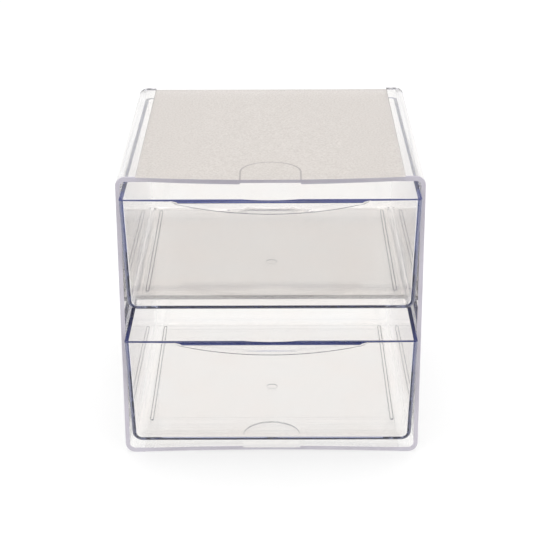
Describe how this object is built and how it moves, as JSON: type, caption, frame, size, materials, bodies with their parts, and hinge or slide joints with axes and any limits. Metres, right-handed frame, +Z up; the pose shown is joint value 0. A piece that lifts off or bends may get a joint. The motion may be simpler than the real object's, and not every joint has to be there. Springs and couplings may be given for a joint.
{
  "type": "desk storage cube with drawers",
  "caption": "Clear moulded desk cube with drawers: an open-fronted housing with a fixed shelf, and lift-out drawers whose leaning fronts carry a crescent pull lip.",
  "frame": {"origin": "on the table, under the middle of the whole object with its drawers shut", "axes": "+X to the right seen from the front, +Y from the drawers' fronts to the closed back, +Z up"},
  "size_m": [0.1524, 0.1736, 0.152],
  "materials": {
    "clear_housing": "clear, with frosted top, bottom and shelf",
    "clear_drawer": "clear gloss"
  },
  "bodies": {
    "housing": {"housing": "clear_housing"},
    "upper_drawer": {"upper_drawer": "clear_drawer"},
    "lower_drawer": {"lower_drawer": "clear_drawer"}
  },
  "joints": [
    {"name": "upper_drawer_slide", "type": "slide", "parent": "housing", "child": "upper_drawer", "axis": [0, -1, 0], "range_m": [0, 0.11]},
    {"name": "lower_drawer_slide", "type": "slide", "parent": "housing", "child": "lower_drawer", "axis": [0, -1, 0], "range_m": [0, 0.11]}
  ]
}
